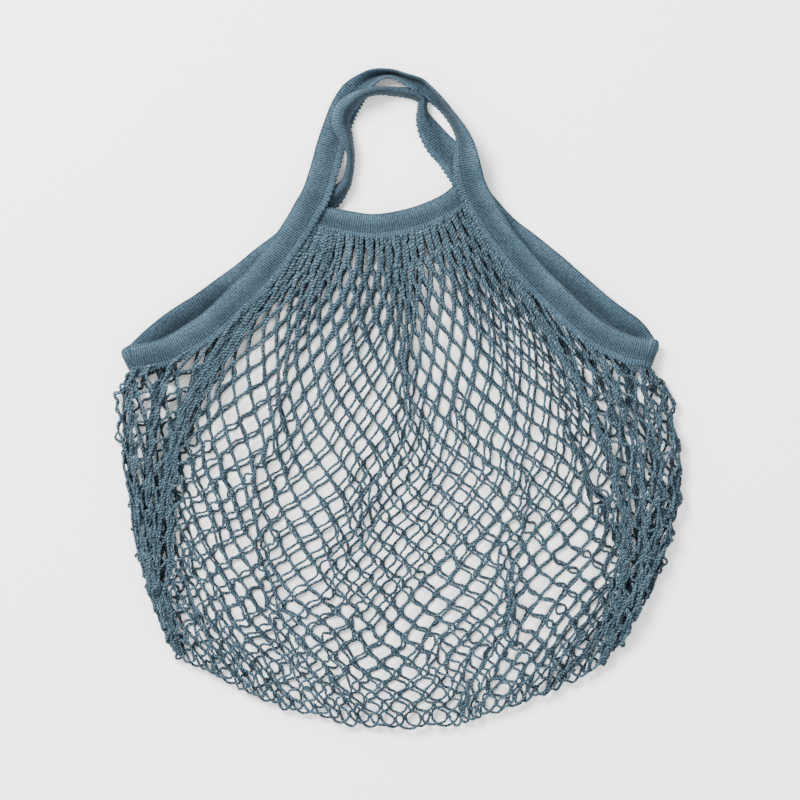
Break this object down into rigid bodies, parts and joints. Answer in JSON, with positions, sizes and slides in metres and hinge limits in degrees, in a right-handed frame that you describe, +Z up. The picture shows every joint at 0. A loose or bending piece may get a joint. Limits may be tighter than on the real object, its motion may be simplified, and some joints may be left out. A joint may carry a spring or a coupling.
{
  "type": "string shopping bag",
  "caption": "Cotton net shopping bag lying flat, with knitted tape edges that carry on as two hand loops over a gathered net sack.",
  "frame": {"origin": "on the surface that the bag lies on, under the middle of the whole bag", "axes": "+X across the bag, +Y from the bottom of the net to the handles, +Z up from the surface"},
  "size_m": [0.4076, 0.478, 0.0206],
  "materials": {
    "net_cord": "matt spun cotton cord",
    "knitted_tape": "matt ribbed cotton knit"
  },
  "bodies": {
    "root": {"front_net": "net_cord", "net_rim": "net_cord", "back_net": "net_cord", "front_tape": "knitted_tape", "back_tape": "knitted_tape", "front_neck_band": "knitted_tape", "back_neck_band": "knitted_tape"}
  },
  "joints": []
}
